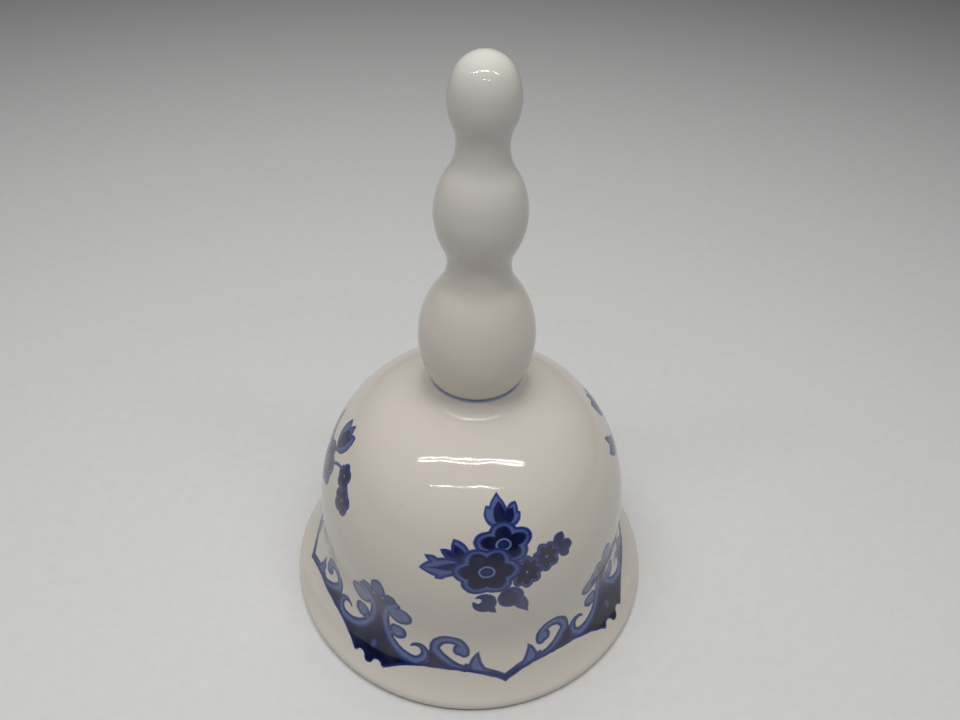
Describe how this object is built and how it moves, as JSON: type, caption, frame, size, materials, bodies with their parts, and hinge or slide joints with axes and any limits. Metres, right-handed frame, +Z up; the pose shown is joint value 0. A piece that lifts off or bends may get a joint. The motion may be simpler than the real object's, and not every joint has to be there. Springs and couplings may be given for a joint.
{
  "type": "table bell",
  "caption": "Porcelain table bell with a domed body, a flared rim, a tall three-bulge handle, and a ball clapper that swings on a short chain.",
  "frame": {"origin": "centre of the rim's flat foot, on the table", "axes": "+Z up the bell's axis towards the tip of the handle; +X to the right and -Y towards a person who faces the front flower spray"},
  "size_m": [0.084, 0.084, 0.1223],
  "materials": {
    "painted_porcelain": "glossy glaze over cobalt-blue painting",
    "white_porcelain": "glossy white glaze",
    "ball_porcelain": "glossy white glaze",
    "plaster": "matt cast filling",
    "wire": "drawn nickel-plated wire"
  },
  "bodies": {
    "bell": {"bell_body": "painted_porcelain", "handle": "white_porcelain", "cement_plug": "plaster", "hanger_staple": "wire"},
    "link_1": {"chain_link_1": "wire"},
    "link_2": {"chain_link_2": "wire"},
    "link_3": {"chain_link_3": "wire"},
    "clapper": {"clapper_pin": "wire", "clapper_ball": "ball_porcelain"}
  },
  "joints": [
    {"name": "link_1_swing", "type": "hinge", "parent": "bell", "child": "link_1", "pos_m": [0, 0, 0.048], "axis": [1, 0, 0], "range_deg": [-22, 22]},
    {"name": "link_2_swing", "type": "hinge", "parent": "link_1", "child": "link_2", "pos_m": [0, 0, 0.0421], "axis": [0, 1, 0], "range_deg": [-29, 29]},
    {"name": "link_3_swing", "type": "hinge", "parent": "link_2", "child": "link_3", "pos_m": [0, 0, 0.0362], "axis": [1, 0, 0], "range_deg": [-22, 22]},
    {"name": "clapper_swing", "type": "hinge", "parent": "link_3", "child": "clapper", "pos_m": [0, 0, 0.0303], "axis": [0, 1, 0], "range_deg": [-29, 29]}
  ]
}
